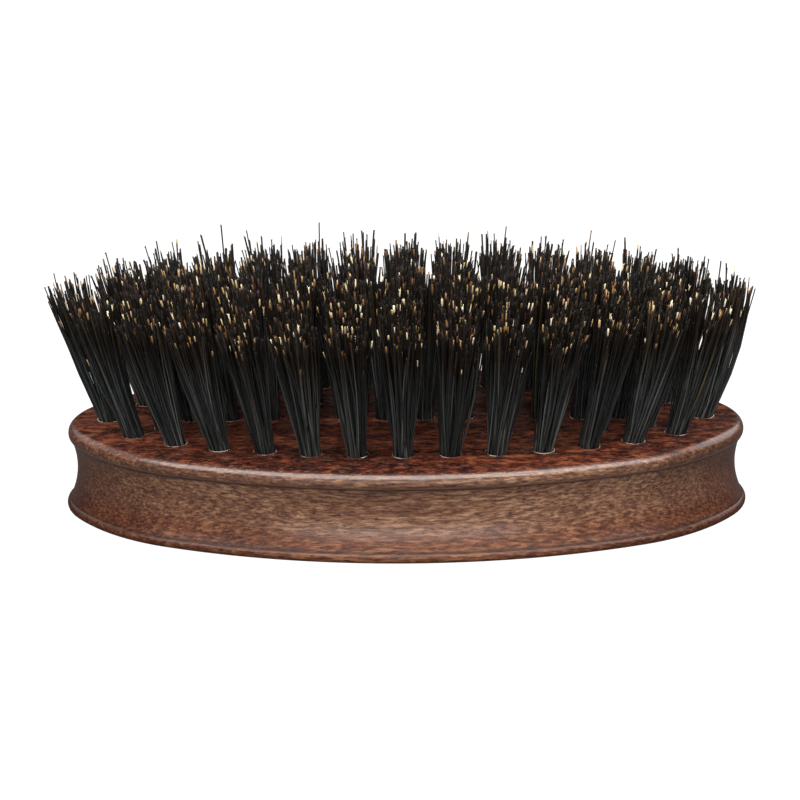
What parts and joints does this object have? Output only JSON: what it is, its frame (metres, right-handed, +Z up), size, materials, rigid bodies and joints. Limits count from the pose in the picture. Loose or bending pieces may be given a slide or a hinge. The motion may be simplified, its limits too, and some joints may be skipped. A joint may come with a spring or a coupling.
{
  "type": "beard brush",
  "caption": "Oval hand brush for a beard: a wooden block with a finger cove and a flat underside, set with leaning tufts of stiff dark bristle.",
  "frame": {"origin": "centre of the flat underside of the handle block", "axes": "+Z up from the underside towards the bristle tips, X along the block's length, Y across its width"},
  "size_m": [0.1168, 0.0542, 0.0381],
  "materials": {
    "handle_wood": "satin, dark stain",
    "bristle": "stiff natural bristle, low sheen, paler split tips",
    "staple_wire": "drawn flat wire"
  },
  "bodies": {
    "root": {"handle_block": "handle_wood", "anchor_staples": "staple_wire", "outer_tuft_1": "bristle", "outer_tuft_2": "bristle", "outer_tuft_3": "bristle", "outer_tuft_4": "bristle", "outer_tuft_5": "bristle", "outer_tuft_6": "bristle", "outer_tuft_7": "bristle", "outer_tuft_8": "bristle", "outer_tuft_9": "bristle", "outer_tuft_10": "bristle", "outer_tuft_11": "bristle", "outer_tuft_12": "bristle", "outer_tuft_13": "bristle", "outer_tuft_14": "bristle", "outer_tuft_15": "bristle", "outer_tuft_16": "bristle", "outer_tuft_17": "bristle", "outer_tuft_18": "bristle", "outer_tuft_19": "bristle", "outer_tuft_20": "bristle", "outer_tuft_21": "bristle", "outer_tuft_22": "bristle", "outer_tuft_23": "bristle", "outer_tuft_24": "bristle", "outer_tuft_25": "bristle", "outer_tuft_26": "bristle", "outer_tuft_27": "bristle", "outer_tuft_28": "bristle", "middle_tuft_1": "bristle", "middle_tuft_2": "bristle", "middle_tuft_3": "bristle", "middle_tuft_4": "bristle", "middle_tuft_5": "bristle", "middle_tuft_6": "bristle", "middle_tuft_7": "bristle", "middle_tuft_8": "bristle", "middle_tuft_9": "bristle", "middle_tuft_10": "bristle", "middle_tuft_11": "bristle", "middle_tuft_12": "bristle", "middle_tuft_13": "bristle", "middle_tuft_14": "bristle", "middle_tuft_15": "bristle", "middle_tuft_16": "bristle", "middle_tuft_17": "bristle", "middle_tuft_18": "bristle", "middle_tuft_19": "bristle", "middle_tuft_20": "bristle", "middle_tuft_21": "bristle", "middle_tuft_22": "bristle", "centre_tuft_pair_1": "bristle", "centre_tuft_pair_2": "bristle", "centre_tuft_pair_3": "bristle", "centre_tuft_pair_4": "bristle", "centre_tuft_pair_5": "bristle", "centre_tuft_pair_6": "bristle"}
  },
  "joints": []
}
